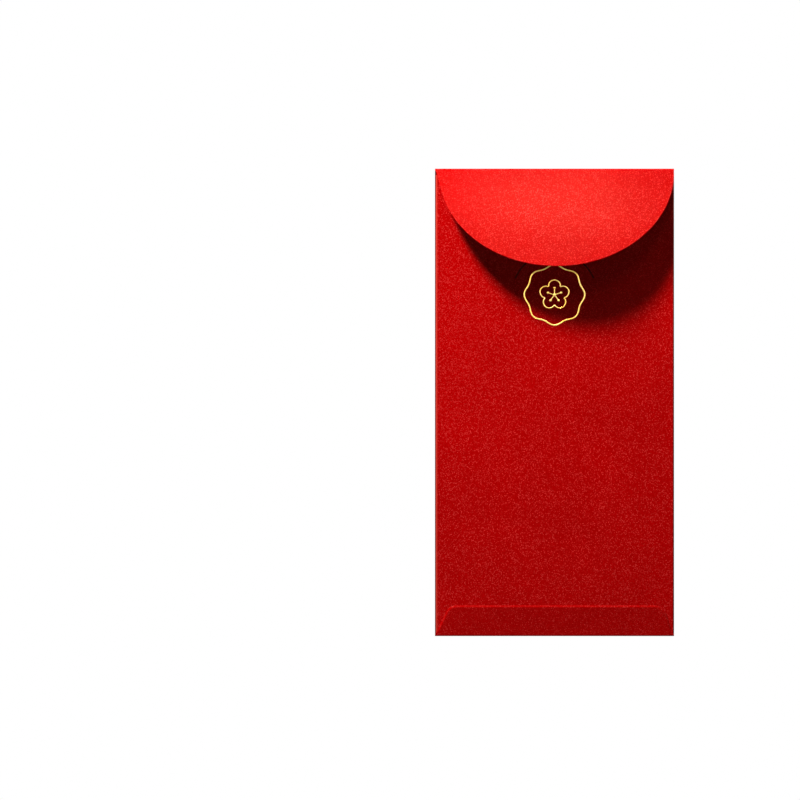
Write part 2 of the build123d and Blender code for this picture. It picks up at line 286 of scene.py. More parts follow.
# Pearl paper: flecks lighten the red, clouds shift it a little; painted light above 0 is painted shade, below
# 0 a painted highlight.
def buildPaper(name, shade=1.0, specular=paperLook["specular"]):
    look = paperLook
    material, tree, skin = startMaterial(name)
    grain = placeGrain(tree, look)
    deep, pearl, glint = (tuple(c * shade for c in look[key]) for key in ("deep", "pearl", "glint"))
    red = mixColour(grain["Fleck"], deep, pearl)
    red = mixColour(grain["Glint"], red, glint)
    tint = addNode(tree, "VectorMath")
    tint.operation = "SCALE"
    feed(tint.inputs[0], red)
    feed(tint.inputs["Scale"], mapValue(grain["Cloud"], look["cloudSpan"], look["cloudShift"]))
    fold = pieceValue(tree, "fold")
    # painted shade where the painted light value is above 0, painted highlight where it is below 0
    red = mixColour(mapValue(fold), tint.outputs[0], look["paintedShade"])
    red = mixColour(mapValue(fold, (0.0, -1.0)), red, look["paintedHighlight"])
    fibres = mapValue(grain["Tooth"], look["fibreSpan"])
    reverse = mixColour(fibres, look["insideLow"], look["insideHigh"])
    # inside faces take the dark reverse, painted shade for the slit and the pocket
    red = mixColour(pieceValue(tree, "inside"), red, reverse)
    feed(skin["Base Color"], red)
    satin = mapValue(grain["Tooth"], look["toothSpan"], look["rough"])
    facing = addNode(tree, "LayerWeight", Blend=0.5).outputs["Facing"]
    dull = mapValue(facing, look["grazing"], (look["rough"][0], look["dull"]))
    feed(skin["Roughness"], mathNode("MAXIMUM", satin, dull))
    addBump(skin, grain["Tooth"], look)
    feed(skin["Specular IOR Level"], specular)
    feed(skin["Specular Tint"], (*look["specularTint"], 1))
    return material


foilLook = dict(
    low=(0.24, 0.095, 0.007),          # painted shade at the foot of the relief
    high=(0.76, 0.33, 0.022),          # on the raised face
    bright=(0.96, 0.57, 0.12),         # where the foil is burnished
    fleckSize=0.00028, cloudSize=0.006, fleckLow=0.35, fleckHigh=0.9, glintLow=0.8,
    cloudSpan=(0.36, 0.64), cloudShine=0.75, fleckShine=0.25, riseSpan=(0.2, 0.85),
    roughSpan=(0.3, 0.7), rough=(0.24, 0.38), bumpDepth=0.00002, bumpStrength=0.35,
)

# Paler foil for the thin lines.
lineLook = dict(foilLook, low=(0.55, 0.22, 0.02), high=(1.0, 0.56, 0.09), bright=(1.0, 0.72, 0.22))


# Gold foil: satin metal, painted darker where the relief drops to the paper, as painted shade at its foot.
def buildFoil(name, look):
    material, tree, skin = startMaterial(name)
    grain = placeGrain(tree, look)
    cloudy = mapValue(grain["Cloud"], look["cloudSpan"], (0.0, look["cloudShine"]))
    flecked = mapValue(grain["Fleck"], onto=(0.0, look["fleckShine"]))
    shine = mathNode("ADD", cloudy, flecked)
    gold = mixColour(shine, look["high"], look["bright"])
    rise = mapValue(pieceValue(tree, "rise"), look["riseSpan"])
    feed(skin["Base Color"], mixColour(rise, look["low"], gold))
    feed(skin["Roughness"], mapValue(grain["Cloud"], look["roughSpan"], look["rough"]))
    addBump(skin, grain["Tooth"], look)
    feed(skin["Metallic"], 1.0)
    return material


glueLook = dict(low=(0.62, 0.55, 0.42), high=(0.74, 0.68, 0.55), roughness=0.35,
                bumpDepth=0.00003, bumpStrength=0.2,
                fleckSize=0.0006, cloudSize=0.004, fleckLow=0.35, fleckHigh=0.7, glintLow=0.8)


# Dry white glue film with faint streaks.
def buildGlue(name):
    material, tree, skin = startMaterial(name)
    streaks = placeGrain(tree, glueLook)["Cloud"]
    feed(skin["Base Color"], mixColour(streaks, glueLook["low"], glueLook["high"]))
    addBump(skin, streaks, glueLook)
    feed(skin["Roughness"], glueLook["roughness"])
    return material


paperMaterial = buildPaper("pearlRedPaper")
# the bottom flap's paper, painted darker as painted shade
shadedPaper = buildPaper("pearlRedPaperShaded", paperLook["bottomShade"])
edgePaper = buildPaper("pearlRedPaperEdge", specular=0.0)
foilMaterial = buildFoil("goldFoil", foilLook)
lineFoil = buildFoil("goldLineFoil", lineLook)
glueMaterial = buildGlue("glueFilm")
print("materials ready")


# paper pieces

paper = dict(thickness=0.3, halfWidth=45.0, backY=1.4, sideRadius=0.7, sidePower=3.0,
             seamRadius=0.525, seamPower=2.6, backEnd=-44.6, footZ=0.875, mouthZ=173.65, creaseZ=175.025,
             nearFold=0.2, seamSteps=19, sideSteps=21, frontColumns=25, backColumns=8, lowRows=17, highRows=5)
# Where a side's fold takes a painted highlight and then painted shade, from the envelope's middle, and how
# strong the painted highlight is.
foldLight = dict(start=44.29, shadeFrom=44.55, shadeRun=0.13, sideAbove=0.6, seamBelow=0.5,
             side=0.8, seam=0.35, behindSeam=0.6)
lock = dict(middleZ=128.5, radius=16.0, slit=0.52, rootZ=134.7517, roomX=18.0, roomZ=148.0, bendLength=2.0,
            patchRings=6, rootColumns=31, windowRows=12, rimColumns=61, rimRows=17)
lockMiddle = np.array([0.0, lock["middleZ"]])


# Points and outward normals on a pressed fold: part of a superellipse about (x, radius), squarer as
# power grows.
def pressedFold(x, radius, start, end, count, power):
    way = ray(np.radians(np.linspace(start, end, count)))
    place = np.sign(way) * np.abs(way) ** (2 / power)
    out = np.sign(way) * np.abs(way) ** (2 - 2 / power)
    return np.array([x, radius]) + radius * place, out / np.linalg.norm(out, axis=1, keepdims=True)


# Painted light along the side folds: a painted highlight line, then a straight ramp to a painted dark edge,
# painted shade on the fold's outer rounding.
def paintedFoldLight(points):
    w = foldLight
    x, y = points[:, 0], points[:, 1]
    highlightStrength = np.where(x > 0, w["side"], w["seam"])
    paintedShade = np.clip((np.abs(x) - w["shadeFrom"]) / w["shadeRun"], 0, 1)
    paintedAmount = np.where(x > 0, y > w["sideAbove"], y < w["seamBelow"]) & (np.abs(x) > w["start"])
    paintedAmount = np.where(paintedAmount, paintedShade * (1 + highlightStrength) - highlightStrength, 0.0)
    # the back half of the seam fold, past the back panel's end, takes a painted highlight against its shade
    return np.where((x < paper["backEnd"]) & (y > w["seamBelow"]), -w["behindSeam"], paintedAmount)


# The tongue's window in plan: its columns, its rows, and a ruled patch between the slit's outer arc
# and the rectangle that these columns and rows frame.
def windowPlan():
    k = lock
    radius, rise = k["radius"] + k["slit"] / 2, k["rootZ"] - k["middleZ"]
    rootHalf = np.sqrt(radius ** 2 - rise ** 2)
    beside = np.linspace(k["roomX"], rootHalf, k["patchRings"] + 1)
    x = np.r_[beside, np.linspace(rootHalf, -rootHalf, k["rootColumns"])[1:-1], -beside[::-1]]
    z = np.linspace(k["rootZ"], k["roomZ"], k["windowRows"])
    frameX = np.r_[np.full(len(z), k["roomX"]), x[1:-1], np.full(len(z), -k["roomX"])]
    frameZ = np.r_[z, np.full(len(x) - 2, k["roomZ"]), z[::-1]]
    turn = np.arctan2(frameZ - k["middleZ"], frameX)
    start = np.arcsin(rise / radius)
    turn = start + (turn - turn[0]) / (turn[-1] - turn[0]) * (pi - 2 * start)
    arc = lockMiddle + radius * ray(turn)
    share = np.linspace(0, 1, k["patchRings"] + 1)[:, None, None]
    return x, z, arc * (1 - share) + np.c_[frameX, frameZ] * share


# The wrapped blank: one path round the section (seam fold, front, side fold, back), carried up Z. Cells
# over the tongue's window and above the mouth are left out, and the window's patch fills its corners.
def buildWrap():
    p = paper
    windowX, windowZ, patch = windowPlan()
    seamX, sideX = p["seamRadius"] - p["halfWidth"], p["halfWidth"] - p["sideRadius"]
    seam, seamOut = pressedFold(seamX, p["seamRadius"], 90, 270, p["seamSteps"], p["seamPower"])
    side, sideOut = pressedFold(sideX, p["sideRadius"], -90, 90, p["sideSteps"], p["sidePower"])
    frontX = np.r_[seamX + p["nearFold"], np.linspace(seamX, sideX, p["frontColumns"])[1:-1],
                   sideX - p["nearFold"]]
    backX = np.r_[sideX - p["nearFold"],
                  np.linspace(sideX, lock["roomX"], p["backColumns"] + 1)[1:-1], windowX,
                  np.linspace(-lock["roomX"], p["backEnd"], p["backColumns"] + 1)[1:]]
    front = np.c_[frontX, np.zeros(len(frontX))]
    back = np.c_[backX, np.full(len(backX), p["backY"])]
    path = np.r_[seam, front, side, back]
    out = np.r_[seamOut, np.full_like(front, (0, -1)), sideOut, np.full_like(back, (0, 1))]
    z = np.r_[np.linspace(p["footZ"], lock["rootZ"], p["lowRows"] + 1)[:-1], windowZ,
              np.linspace(lock["roomZ"], p["mouthZ"], p["highRows"] + 1)[1:], [p["creaseZ"]]]
    grid = np.c_[np.repeat(path[:, None], len(z), 1), np.tile(z, (len(path), 1))[..., None]]
    normals = np.repeat(np.c_[out, np.zeros(len(out))][:, None], len(z), 1)
    column, row = np.meshgrid(np.arange(len(path) - 1), np.arange(len(z) - 1), indexing="ij")
    frontRun = (column >= len(seam) // 2) & (column < len(seam) + len(front) + len(side) // 2)
    first = len(path) - len(back) + p["backColumns"]
    overWindow = (column >= first) & (column < first + len(windowX) - 1)
    overWindow &= (row >= p["lowRows"]) & (row < p["lowRows"] + len(windowZ) - 1)
    faces = gridFaces(grid.shape, ~overWindow & ((row < len(z) - 2) | frontRun))
    patchFaces = gridFaces(patch.shape)[:, ::-1] + grid.shape[0] * grid.shape[1]
    patch = np.insert(patch, 1, p["backY"], -1).reshape(-1, 3)
    points = np.r_[grid.reshape(-1, 3), patch]
    normals = np.r_[normals.reshape(-1, 3), np.full_like(patch, (0, 1, 0))]
    obj = sheet("wrapSheet", points, normals, np.r_[faces, patchFaces], paintedFoldLight(points))
    finishSheet(obj, paperMaterial, "front_panel", "side_fold", "back_panel", "seam_fold")
    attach(obj, "envelope_body")


flap = dict(middle=-0.8, halfWidth=44.17, shoulder=1.25, length=38.25, flareX=42.6, flareTop=44.72,
            flareSlope=3.9, flareLeast=0.1, restAngle=20.0, radius=0.975, bow=0.45,
            columns=101, flareColumns=16, arcRows=19, plateRows=36)


# The flap: a path over the crease's arc and down the plate, carried across X. The plate's length is
# a shoulder plus half an ellipse, with a straight flare at one end; bow times a half sine lifts it
# off its chord.
def buildFlap():
    f = flap
    turn = np.radians(np.linspace(-90, 90, f["columns"]))
    x = f["middle"] + f["halfWidth"] * np.sin(turn)
    x = np.r_[-paper["halfWidth"], x[x < f["flareX"]],
              np.linspace(f["flareX"], paper["halfWidth"], f["flareColumns"])]
    inside = np.clip(1 - ((x - f["middle"]) / f["halfWidth"]) ** 2, 0, 1)
    reach = f["shoulder"] + (f["length"] - f["shoulder"]) * np.sqrt(inside)
    flare = np.clip(f["flareSlope"] * (f["flareTop"] - x), f["flareLeast"], None)
    reach = np.where(x >= f["flareX"], flare, reach)
    reach[[0, -1]] = 0.0
    turn = np.radians(np.linspace(0, 180 - f["restAngle"], f["arcRows"]))
    lean = radians(f["restAngle"])
    outDir = ray(lean)
    downDir = np.array([outDir[1], -outDir[0]])
    arcOut = np.c_[-np.cos(turn), np.sin(turn)]
    arcPlace = np.array([f["radius"], paper["creaseZ"]]) + f["radius"] * arcOut
    down = reach * np.linspace(0, 1, f["plateRows"])[1:, None]
    lift = f["bow"] * np.sin(pi * down / f["length"])
    slope = f["bow"] * pi / f["length"] * np.cos(pi * down / f["length"])
    place = arcPlace[-1] + down[..., None] * downDir + lift[..., None] * outDir
    plateOut = (outDir - slope[..., None] * downDir) / np.sqrt(1 + slope[..., None] ** 2)
    shape = (f["arcRows"], len(x), 2)
    section = np.r_[np.broadcast_to(arcPlace[:, None], shape), place]
    out = np.r_[np.broadcast_to(arcOut[:, None], shape), plateOut]
    across = np.broadcast_to(x, section.shape[:2])[..., None]
    points = np.c_[across, section]
    normals = np.c_[np.zeros_like(across), out]
    obj = sheet("flapSheet", points, normals, gridFaces(points.shape)[:, ::-1])
    finishSheet(obj, paperMaterial, "top_flap", "flap_crease")
    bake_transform(obj)


# foot, lean and corner are for the side at -X, then the side at +X; near is from a side's border inwards
bottom = dict(radius=0.875, foot=(44.45, 44.75), lean=(17.5, 26.0), corner=(5.0, 4.0), step=0.4, top=11.5,
              faceY=1.75, foldPower=8.0, rollWidth=0.75, rollDrop=0.25, rollStart=1.5, litBorderFrom=1.75,
              near=(0, 0.1, 0.22, 0.36, 0.52, 0.75, 1.1, 1.8, 3, 5), columns=33, spread=0.8,
              foldSteps=21, sideRows=22, cornerRows=26)


# The bottom flap: a pressed fold as wide as the front, then a plate whose half width steps in and
# follows a leaning side and a round corner, each side with its own. Near its border the face rolls
# down as a quadratic.
def buildBottom():
    b = bottom
    base = b["radius"]
    foot, corner, lean = np.array(b["foot"]), np.array(b["corner"]), np.radians(b["lean"])
    taper = np.tan(lean)
    topHalf = foot - (b["top"] - base) * taper
    cornerX = topHalf - corner / np.tan((pi / 2 + lean) / 2)
    cornerZ = b["top"] - corner
    arcPlace, arcOut = pressedFold(base, base, 180, 360, b["foldSteps"], b["foldPower"])
    arcY, arcZ = arcPlace.T
    tangentZ = cornerZ + corner * np.sin(lean)
    cornerTurn = np.linspace(lean[0], pi / 2, b["cornerRows"])[1:]
    plateZ = np.r_[base + b["step"] * np.array([0.5, 1.0]),
                   np.linspace(base + b["step"], tangentZ[0], b["sideRows"])[1:],
                   cornerZ[0] + corner[0] * np.sin(cornerTurn)]
    row = plateZ[:, None]
    leaning = foot - (row - base) * taper
    rounded = cornerX + np.sqrt(np.clip(corner ** 2 - (row - cornerZ) ** 2, 0, None))
    leaning += (paper["halfWidth"] - foot) * np.clip(1 - (row - base) / b["step"], 0, 1)
    half = np.r_[np.full((len(arcZ), 2), paper["halfWidth"]), np.where(row > tangentZ, rounded, leaning)]
    near = np.array(b["near"]) / paper["halfWidth"]
    share = np.r_[-1 + near, np.linspace(-b["spread"], b["spread"], b["columns"]), 1 - near[::-1]]
    x = np.where(share < 0, half[:, :1], half[:, 1:]) * share
    y = np.broadcast_to(np.r_[arcY, np.full(len(plateZ), b["faceY"])][:, None], x.shape)
    z = np.broadcast_to(np.r_[arcZ, plateZ][:, None], x.shape)

    def fromBorder(x, z):
        k = (x > 0).astype(int)
        side = (foot[k] - (z - base) * taper[k] - np.abs(x)) * np.cos(lean[k])
        past = np.abs(x) - cornerX[k]
        inCorner = (past > 0) & (z > cornerZ[k] + past * taper[k])
        fromCorner = corner[k] - np.hypot(past, z - cornerZ[k])
        return np.where(inCorner, fromCorner, np.minimum(side, b["top"] - z))

    edge = np.clip(fromBorder(x, z), 0, b["rollWidth"])
    started = np.clip((z - base) / b["rollStart"], 0, 1)
    roll = b["rollDrop"] * (1 - edge / b["rollWidth"]) ** 2 * started
    normals = np.zeros((*x.shape, 3))
    normals[..., 1] = np.r_[arcOut[:, 0], np.ones(len(plateZ))][:, None]
    normals[..., 2] = np.r_[arcOut[:, 1], np.zeros(len(plateZ))][:, None]
    obj = sheet("bottomSheet", np.stack([x, y - roll, z], -1), normals, gridFaces(x.shape),
                roll=roll.reshape(-1))
    finishSheet(obj, shadedPaper, "bottom_fold", "bottom_flap")
    # along its top and the side at +X the rolled border takes the paper without the painted shade, a painted
    # highlight on the edges that face the key lamp
    obj.data.materials.append(paperMaterial)
    middle = readFaces(obj, "center", 3) / mm
    loose = (fromBorder(middle[:, 0], middle[:, 2]) < b["rollWidth"]) & (middle[:, 2] > b["litBorderFrom"])
    loose &= middle[:, 0] > -cornerX[0]
    setSlots(obj, np.where(loose, 2, readFaces(obj, "material_index", 1, np.int32)[:, 0]))
    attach(obj, "envelope_body")


# The lock tongue: a ruled surface from its straight root to the arc of the slit.
def buildTongue():
    k = lock
    radius = k["radius"] - k["slit"] / 2
    start = np.arcsin((k["rootZ"] - k["middleZ"]) / radius)
    rim = lockMiddle + radius * ray(np.linspace(start, pi - start, k["rimColumns"]))
    root = np.c_[np.linspace(rim[0, 0], rim[-1, 0], len(rim)), np.full(len(rim), k["rootZ"])]
    share = np.linspace(0, 1, k["rimRows"])[:, None, None]
    points = np.insert(root * (1 - share) + rim * share, 1, paper["backY"], -1)
    normals = np.full_like(points, (0, 1, 0))
    obj = sheet("lockTongue", points, normals, gridFaces(points.shape)[:, ::-1])
    finishSheet(obj, paperMaterial, "lock_tab")
    bendWithTongue(obj)


def bendWithTongue(obj):
    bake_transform(obj)


buildWrap()
buildFlap()
buildBottom()
buildTongue()
for node, material in (("seam_tab", paperMaterial), ("seam_glue", glueMaterial),
                       ("bottom_glue", glueMaterial)):
    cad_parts[node].data.materials.clear()
    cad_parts[node].data.materials.append(material)
print("paper folded")


# raised pieces: closed shells with a plan in X and Z and a level above their sheet

sink = 0.04  # how far the foot of a raised piece lies in the paper
bandPower = 2.6
bandColumns = 11
bandSpacing = 0.35
endSteps = 8
tiny = 1e-9


# Quarter round: 0 at the border, 1 from width inwards.
def shoulder(distance, width):
    return np.sqrt(np.clip(1 - (1 - np.clip(distance / width, 0, 1)) ** 2, 0, 1))


# Faces the way round that gives the shell a positive volume.
def turnOut(plan, level, faces):
    p = np.c_[plan, level]
    a, b, c, d = (p[faces[:, i]] for i in range(4))
    volume = (a * np.cross(b, c)).sum() + (a * np.cross(c, d)).sum()
    return faces if volume > 0 else faces[:, ::-1]


# Places across a section from -1 to 1, closer at its sides, and a superellipse over them.
def roundSection(columns, power):
    offset = -np.cos(np.linspace(0, pi, columns))
    return offset, np.clip(1 - np.abs(offset) ** power, 0, 1) ** (1 / power)


# Sections in rows, each joined from its last point to its first, as one closed part.
def closeSections(plan, level, rise):
    faces = gridFaces(level.shape, closed=True)
    plan, level = plan.reshape(-1, 2), level.reshape(-1)
    return plan, level, rise.reshape(-1), turnOut(plan, level, faces)


# Plan, level and rise of a band: a rounded section carried along a path. Across it the height is a
# superellipse, times ridge where that is given.
def bandRows(path, half, height, ridge=1.0, columns=bandColumns):
    step = np.gradient(path, axis=0)
    along = step / np.maximum(np.linalg.norm(step, axis=1, keepdims=True), tiny)
    across = np.c_[-along[:, 1], along[:, 0]]
    offset, bulge = roundSection(columns, bandPower)
    plan = path[:, None] + across[:, None] * half[:, None, None] * offset[:, None]
    level = -sink + (height[:, None] + sink) * bulge * ridge
    level[:, [0, -1]] = -sink
    # rise follows the bulge, so the foil is painted darker towards the band's foot as painted shade
    rise = np.broadcast_to(bulge, level.shape)
    return plan, level, rise * np.clip(height / max(height.max(), tiny), 0, 1)[:, None]


# A band with round ends along points: stations are even in between and close up as a quarter
# circle towards each end, where width and height shrink with the circle.
def roundBand(points, half, height, spacing=bandSpacing, ridge=None):
    half, height = (np.broadcast_to(value, len(points)) for value in (half, height))
    gone = distanceAlong(points)
    length, first, last = gone[-1], half[0], half[-1]
    quarter = 1 - np.cos(np.linspace(0, pi / 2, endSteps))
    middle = np.linspace(first, length - last, max(2, int((length - first - last) / spacing) + 2))
    s = np.r_[first * quarter[:-1], middle, length - last * quarter[::-1][1:]]
    share = shoulder(s, first) * shoulder(length - s, last)
    tall = np.interp(s, gone, height) * share - sink * (1 - share)
    half = np.interp(s, gone, half) * share
    return closeSections(*bandRows(placesAt(s, gone, points), half, tall, 1.0 if ridge is None else ridge(s)))


# A band with flat ends: a section drawn together to its own middle closes it before the first and
# after the last.
def flatBand(path, half, tall):
    plan, level, rise = bandRows(path, np.full(len(path), half), np.full(len(path), tall))
    ends = [np.broadcast_to(path[i], (1, *plan.shape[1:])) for i in (0, -1)]
    lone = np.zeros((1, level.shape[1]))
    return closeSections(np.r_[ends[0], plan, ends[1]], np.r_[lone - sink, level, lone - sink],
                         np.r_[lone, rise, lone])


def dot(middle, radius, tall):
    path = np.array(middle) + np.array([[-radius, 0.0], [radius, 0.0]])
    return roundBand(path, radius, tall)


dropShape = dict(columns=15, bigSteps=16, sideSteps=12, tipSteps=8, fullAt=0.8, grooveWidth=0.16)


# The teardrop that wraps two circles: half width is the first circle, the straight tangent, then
# the second circle; the height is a quarter round of that width, less a groove along its middle.
def drop(seat, heading, bigRadius, length, tipRadius, tall, groove):
    d = dropShape
    lean = np.arcsin((bigRadius - tipRadius) / length)
    bigEnd, tipStart = bigRadius * np.sin(lean), length + tipRadius * np.sin(lean)
    s = np.r_[-bigRadius * np.cos(np.linspace(0, pi / 2 + lean, d["bigSteps"]))[:-1],
              np.linspace(bigEnd, tipStart, d["sideSteps"]),
              length + tipRadius * np.sin(np.linspace(lean, pi / 2, d["tipSteps"]))[1:]]
    straight = (bigRadius - s * np.sin(lean)) / np.cos(lean)
    half = np.where(s < bigEnd, np.sqrt(np.clip(bigRadius ** 2 - s ** 2, 0, None)), straight)
    half = np.where(s > tipStart, np.sqrt(np.clip(tipRadius ** 2 - (s - length) ** 2, 0, None)), half)
    half[[0, -1]] = 0
    height = (tall + sink) * shoulder(half, d["fullAt"] * bigRadius) - sink
    across = roundSection(d["columns"], bandPower)[0]
    ridge = 1 - groove * np.exp(-(across / d["grooveWidth"]) ** 2) * np.clip(half / bigRadius, 0, 1)[:, None]
    path = np.array(seat) + s[:, None] * ray(heading)
    return closeSections(*bandRows(path, half, height, ridge, d["columns"]))


# A grid of plan points with levels above it and a flat underside; its border lies at the foot.
def pad(plan, level, rise):
    faces = gridFaces(level.shape)
    faces = np.r_[faces, faces[:, ::-1] + level.size]
    plan = np.tile(plan.reshape(-1, 2), (2, 1))
    level = np.r_[level.reshape(-1), np.full(level.size, -sink)]
    return plan, level, np.tile(rise.reshape(-1), 2), turnOut(plan, level, faces)


# All parts of a raised piece in one mesh, on the front (towards -Y) or on the back. The third value of
# a part is the rise of foil, painted shade towards its foot, or for paper a painted highlight, painted shade
# where it is below 0.
def raisePiece(name, parts, onBack, material, slot, *nodes):
    starts = np.r_[0, np.cumsum([len(part[0]) for part in parts])]
    plan, level, rise = (np.concatenate([part[i] for part in parts]) for i in range(3))
    faces = np.concatenate([part[3] + start for part, start in zip(parts, starts)])
    points = np.stack([plan[:, 0], paper["backY"] + level if onBack else -level, plan[:, 1]], -1)
    first, quads, tris = weld(points, faces, np.repeat(np.arange(len(parts)), np.diff(starts)))
    if onBack:
        quads, tris = quads[:, ::-1], tris[:, ::-1]
    value = {"rise": rise[first]} if slot == "gold_foil" else {"fold": -rise[first]}
    obj = putMesh(name, points[first], quads, tris, reliefSharp, **value)
    return finishPiece(obj, material, slot, *nodes)


seal = dict(radius=10.9, wave=0.5, lobes=8, line=0.6, tall=0.16, frameSteps=1440, keepEvery=3,
            petals=5, petalMiddle=3.4, petalRadius=2.2, petalLine=0.5, petalEnd=101.3, petalSteps=49,
            heart=0.7, heartRise=1.4, stamen=2.6, stamenLine=0.4, stamenDot=0.5, dotRise=1.25, spacing=0.2)


# The seal's frame: radius plus wave times the cosine of lobes turns, as a band that parts at the
# tongue's root.
def buildSealFrame():
    w = seal
    turn = np.radians(np.linspace(-90, 270, w["frameSteps"] + 1))
    reach = w["radius"] + w["wave"] * np.cos(w["lobes"] * turn)
    line = lockMiddle + reach[:, None] * ray(turn)
    first, last = np.flatnonzero(line[:, 1] > lock["rootZ"])[[0, -1]]
    for name, node, run in (("sealFrame", "seal_frame", np.r_[last:w["frameSteps"], 0:first + 1]),
                            ("sealCrest", "seal_crest", np.arange(first, last + 1))):
        kept = np.union1d(np.arange(0, len(run), w["keepEvery"]), [len(run) - 1])
        part = flatBand(line[run[kept]], w["line"] / 2, w["tall"])
        obj = raisePiece(name, [part], True, lineFoil, "gold_foil", node)
        if node == "seal_crest":
            bendWithTongue(obj)
        else:
            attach(obj, "envelope_body")


# The seal's flower: an arc of line for each petal, a heart, and a stamen with its dot on each petal's axis.
def buildSealFlower():
    w = seal
    middle, tall = lockMiddle, w["tall"]
    parts = [dot(middle, w["heart"], tall * w["heartRise"])]
    swing = np.radians(np.linspace(-w["petalEnd"], w["petalEnd"], w["petalSteps"]))
    for axis in np.radians(90 + 360 / w["petals"] * np.arange(w["petals"])):
        petal = middle + w["petalMiddle"] * ray(axis) + w["petalRadius"] * ray(axis + swing)
        stamen = np.array([middle, middle + w["stamen"] * ray(axis)])
        for line, width in ((petal, w["petalLine"]), (stamen, w["stamenLine"])):
            parts.append(roundBand(line, width / 2, tall, w["spacing"]))
        parts.append(dot(stamen[1], w["stamenDot"], tall * w["dotRise"]))
    obj = raisePiece("sealFlower", parts, True, lineFoil, "gold_foil", "seal_blossom")
    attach(obj, "envelope_body")


# Places, sizes and strokes are shares of unit; a flower has its place, radius and turn, and a stroke's
# points have their place and the share of the branch's width there.
spray = dict(
    unit=45.0, footZ=13.0,
    blossoms=(("blossom_large", 0.13, 1.25, 0.29, 8), ("blossom_right", 0.64, 1.55, 0.22, 40),
              ("blossom_left", -0.40, 1.58, 0.19, -20), ("blossom_low", -0.27, 0.70, 0.165, 25)),
    strokes=(
        ((0.93, 0.03, 1.0), (0.80, 0.25, 0.95), (0.60, 0.40, 0.88), (0.47, 0.69, 0.78), (0.22, 0.87, 0.68),
         (0.13, 1.20, 0.55), (-0.18, 1.45, 0.45), (-0.42, 1.60, 0.38), (-0.55, 1.82, 0.30),
         (-0.60, 2.04, 0.20)),
        ((0.47, 0.69, 0.60), (0.63, 0.95, 0.50), (0.56, 1.18, 0.43), (0.66, 1.55, 0.36), (0.74, 1.84, 0.28),
         (0.70, 2.08, 0.18)),
        ((0.60, 0.40, 0.55), (0.28, 0.52, 0.46), (0.0, 0.56, 0.38), (-0.27, 0.70, 0.32), (-0.50, 0.64, 0.25),
         (-0.70, 0.50, 0.17)),
        ((0.13, 1.20, 0.40), (0.24, 1.78, 0.30), (0.18, 2.06, 0.18)),
        ((0.80, 0.25, 0.45), (0.89, 0.52, 0.32), (0.85, 0.72, 0.20)),
        ((0.22, 0.87, 0.42), (-0.05, 0.93, 0.30), (-0.24, 1.08, 0.18)),
    ),
    bud=(0.05, 0.07, 0.012), budTall=0.42, budGap=0.6,
    loose=(0.048, 0.07, 0.01), looseTall=0.34, looseGroove=0.35,
    loosePlaces=((-0.76, 1.15, 35), (-0.62, 0.16, -50), (0.28, 0.14, 15), (0.45, 2.0, 110)),
)

# reach, petal, ring and heart are shares of a flower's radius, and so are the first values of the pairs
blossom = dict(
    petals=5, gap=0.6, reach=0.58, petal=0.42, ring=0.24, heart=0.13, heartTall=0.42, faceTall=0.16,
    edgeRound=0.42, domeTall=0.034, domePower=0.8, fluteTall=0.09, flutes=3, fluteFade=0.5,
    brightFrom=0.72, columns=49, rows=41,
    stamens=((-0.42, 0.52), (0.0, 0.62), (0.42, 0.52)), stamenStart=0.02, stamenSteps=16, stamenSpacing=0.25,
    stamenHalf=(0.014, 0.05), stamenLift=0.10, dotRadius=(0.036, 0.08), dotLift=0.16,
)


def onDie(x, z):
    return np.array([x * spray["unit"], spray["footZ"] + z * spray["unit"]])


# Level of a petal at across (-1 to 1) and out (0 to 1): a round shoulder at its border carries a
# dome, which is a parabola across and a sine outwards, with shallow flutes that fade to the rim.
def petalLevel(size, across, out, border):
    f = blossom
    dome = f["domeTall"] * size * (1 - across ** 2) * np.sin(pi * out ** f["domePower"]) ** f["domePower"]
    flutes = f["fluteTall"] * np.cos(f["flutes"] * pi * across) * np.sin(pi * np.clip(out, 0, 1))
    return -sink + (f["faceTall"] + sink + dome + flutes * (1 - f["fluteFade"] * out)) * border


# A flower: petals between rays from the ring to the far side of their own circle, stamens, and a heart.
def buildBlossom(name, node, place, size, turn):
    f = blossom
    soft = f["edgeRound"]
    half = pi / f["petals"]
    across, out = np.meshgrid(np.linspace(-1, 1, f["columns"]), np.linspace(0, 1, f["rows"]), indexing="ij")
    swing = across * half
    far = size * (f["reach"] * np.cos(swing) + np.sqrt(f["petal"] ** 2 - (f["reach"] * np.sin(swing)) ** 2))
    inner = size * f["ring"]
    out = 0.5 - 0.5 * np.cos(pi * out)
    radius = inner + (far - inner) * out
    limit = half - np.arcsin(f["gap"] / 2 / radius)
    border = (shoulder((limit - np.abs(across) * limit) * radius, soft)
              * shoulder(far - radius, soft) * shoulder(radius - inner, soft))
    level = petalLevel(size, across, out, border)
    # rise paints the foil lighter towards the top of each petal and darker at its border: painted highlight
    # and painted shade
    rise = border * (f["brightFrom"] + (1 - f["brightFrom"]) * level / level.max())
    stamenHalf, dotRadius = (share * size + extra for share, extra in (f["stamenHalf"], f["dotRadius"]))
    parts = [dot(place, f["heart"] * size, f["heartTall"])]
    for axis in np.radians(turn) + 2 * half * np.arange(f["petals"]):
        parts.append(pad(place + radius[..., None] * ray(axis + across * limit), level, rise))
        for swing, reach in f["stamens"]:
            s = np.linspace(f["ring"] + f["stamenStart"], reach, f["stamenSteps"]) * size
            line = place + s[:, None] * ray(axis + swing * half)
            under = petalLevel(size, swing, (s - inner) / (size - inner), shoulder(s - inner, soft))
            parts.append(roundBand(line, stamenHalf, under + f["stamenLift"], f["stamenSpacing"]))
            parts.append(dot(line[-1], dotRadius, under[-1] + f["dotLift"]))
    obj = raisePiece(name, parts, False, foilMaterial, "gold_foil", node)
    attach(obj, "envelope_body")


